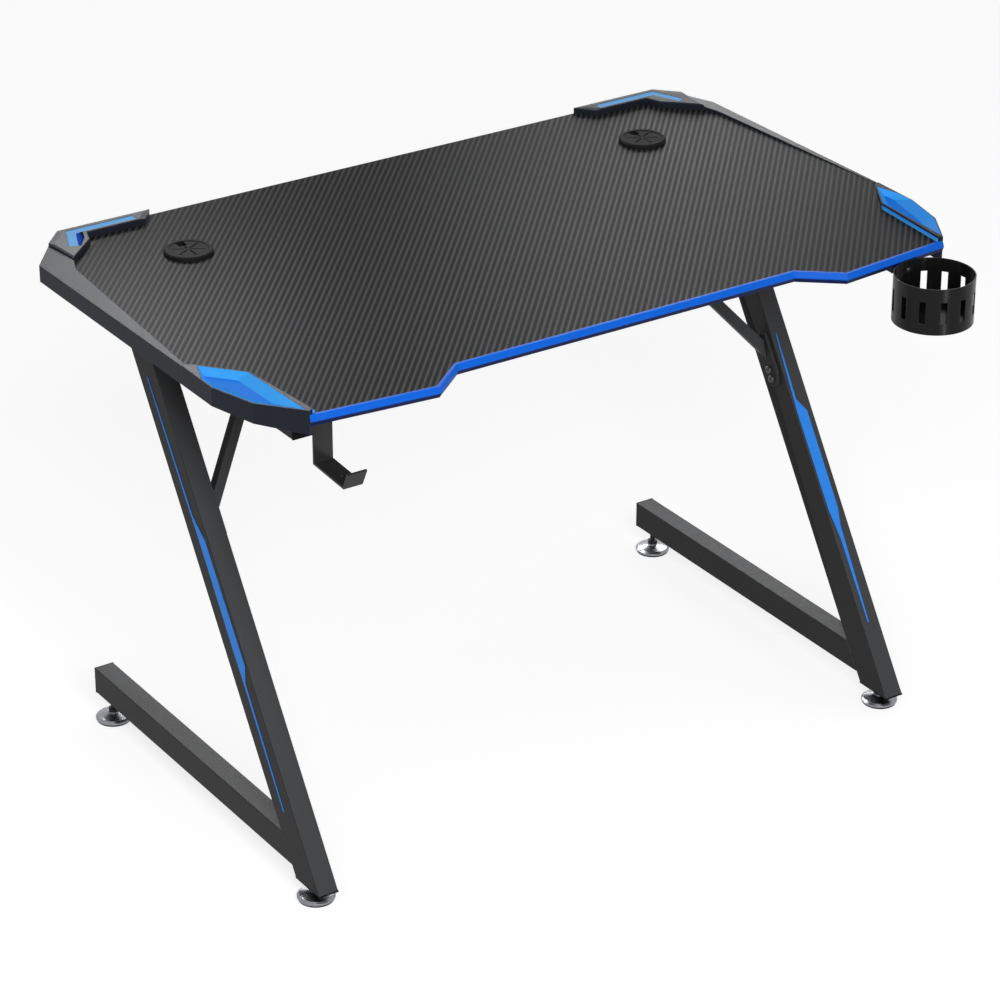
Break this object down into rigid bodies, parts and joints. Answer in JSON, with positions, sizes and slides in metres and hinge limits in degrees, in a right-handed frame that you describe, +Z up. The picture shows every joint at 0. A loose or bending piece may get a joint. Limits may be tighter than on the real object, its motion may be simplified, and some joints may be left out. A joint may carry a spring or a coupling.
{
  "type": "gaming desk",
  "caption": "Gaming desk with a carbon-look twill top, blue edge band and corner inserts, sloping Z legs on levelling feet, cable grommets, a cup holder and a headphone hook.",
  "frame": {"origin": "floor level, at the middle of the footprint box, cup holder included", "axes": "+X to the right of a person seated at the desk, along its width; +Y to the back edge; +Z up"},
  "size_m": [1.118, 0.796, 0.747],
  "materials": {
    "board_core": "dark particle board",
    "carbon_skin": "carbon-look twill laminate, satin",
    "blue_band": "satin edge band, blue above and navy below",
    "dark_trim": "satin charcoal moulding",
    "blue_insert": "satin blue moulding",
    "black_plastic": "fine texture",
    "leg_paint": "satin charcoal powder coat",
    "blue_stripe": "satin film",
    "black_gloss": "gloss black paint",
    "dark_steel": "blackened steel",
    "chrome": "bright plated",
    "rubber": "matte",
    "black_steel": "black oxide"
  },
  "bodies": {
    "desk": {"beam_bolts": "dark_steel", "brace_bolts": "dark_steel", "brace_left": "leg_paint", "brace_right": "leg_paint", "brace_screws": "dark_steel", "column_foot_plugs": "black_plastic", "cup_basket": "black_gloss", "cup_bracket": "black_gloss", "cup_rivets": "dark_steel", "cup_screws": "dark_steel", "floor_beam_plugs": "black_plastic", "foot_nuts": "dark_steel", "front_band": "blue_band", "grommet_ring_left": "black_plastic", "grommet_ring_right": "black_plastic", "headphone_hook": "black_gloss", "hook_screws": "dark_steel", "insert_front_left": "blue_insert", "insert_front_right": "blue_insert", "insert_rear_left": "blue_insert", "insert_rear_right": "blue_insert", "leg_column_left": "leg_paint", "leg_column_right": "leg_paint", "leg_floor_beam_left": "leg_paint", "leg_floor_beam_right": "leg_paint", "leg_top_beam_left": "leg_paint", "leg_top_beam_right": "leg_paint", "lip_screws": "dark_steel", "rail_left": "dark_trim", "rail_right": "dark_trim", "rear_band": "dark_trim", "stripe_left": "blue_stripe", "stripe_right": "blue_stripe", "top_beam_plugs": "black_plastic", "top_board": "board_core", "top_skin": "carbon_skin", "trim_front_left": "dark_trim", "trim_front_right": "dark_trim", "trim_rear_left": "dark_trim", "trim_rear_right": "dark_trim"},
    "cap_left": {"grommet_cap_left": "black_plastic"},
    "cap_right": {"grommet_cap_right": "black_plastic"},
    "pad_front_left": {"foot_pad_front_left": "chrome", "foot_sole_front_left": "rubber"},
    "stud_front_left": {"foot_stud_front_left": "black_steel"},
    "pad_front_right": {"foot_pad_front_right": "chrome", "foot_sole_front_right": "rubber"},
    "stud_front_right": {"foot_stud_front_right": "black_steel"},
    "pad_rear_left": {"foot_pad_rear_left": "chrome", "foot_sole_rear_left": "rubber"},
    "stud_rear_left": {"foot_stud_rear_left": "black_steel"},
    "pad_rear_right": {"foot_pad_rear_right": "chrome", "foot_sole_rear_right": "rubber"},
    "stud_rear_right": {"foot_stud_rear_right": "black_steel"}
  },
  "joints": [
    {"name": "cap_left_turn", "type": "hinge", "parent": "desk", "child": "cap_left", "pos_m": [-0.374, 0.252, 0.738], "axis": [0, 0, 1], "continuous": true},
    {"name": "cap_right_turn", "type": "hinge", "parent": "desk", "child": "cap_right", "pos_m": [0.374, 0.252, 0.738], "axis": [0, 0, 1], "continuous": true},
    {"name": "foot_front_left_drop", "type": "slide", "parent": "desk", "child": "pad_front_left", "axis": [0, 0, -1], "range_m": [0, 0.01]},
    {"name": "foot_front_left_turn", "type": "hinge", "parent": "pad_front_left", "child": "stud_front_left", "pos_m": [-0.4757, -0.2207, 0.014], "axis": [0, 0, -1], "range_deg": [0, 2880]},
    {"name": "foot_front_right_drop", "type": "slide", "parent": "desk", "child": "pad_front_right", "axis": [0, 0, -1], "range_m": [0, 0.01]},
    {"name": "foot_front_right_turn", "type": "hinge", "parent": "pad_front_right", "child": "stud_front_right", "pos_m": [0.4757, -0.2207, 0.014], "axis": [0, 0, -1], "range_deg": [0, 2880]},
    {"name": "foot_rear_left_drop", "type": "slide", "parent": "desk", "child": "pad_rear_left", "axis": [0, 0, -1], "range_m": [0, 0.01]},
    {"name": "foot_rear_left_turn", "type": "hinge", "parent": "pad_rear_left", "child": "stud_rear_left", "pos_m": [-0.4757, 0.346, 0.014], "axis": [0, 0, -1], "range_deg": [0, 2880]},
    {"name": "foot_rear_right_drop", "type": "slide", "parent": "desk", "child": "pad_rear_right", "axis": [0, 0, -1], "range_m": [0, 0.01]},
    {"name": "foot_rear_right_turn", "type": "hinge", "parent": "pad_rear_right", "child": "stud_rear_right", "pos_m": [0.4757, 0.346, 0.014], "axis": [0, 0, -1], "range_deg": [0, 2880]}
  ],
  "couplings": [
    {"joint": "foot_front_left_turn", "follows": "foot_front_left_drop", "rad_per_m": 5026.5},
    {"joint": "foot_front_right_turn", "follows": "foot_front_right_drop", "rad_per_m": 5026.5},
    {"joint": "foot_rear_left_turn", "follows": "foot_rear_left_drop", "rad_per_m": 5026.5},
    {"joint": "foot_rear_right_turn", "follows": "foot_rear_right_drop", "rad_per_m": 5026.5}
  ]
}
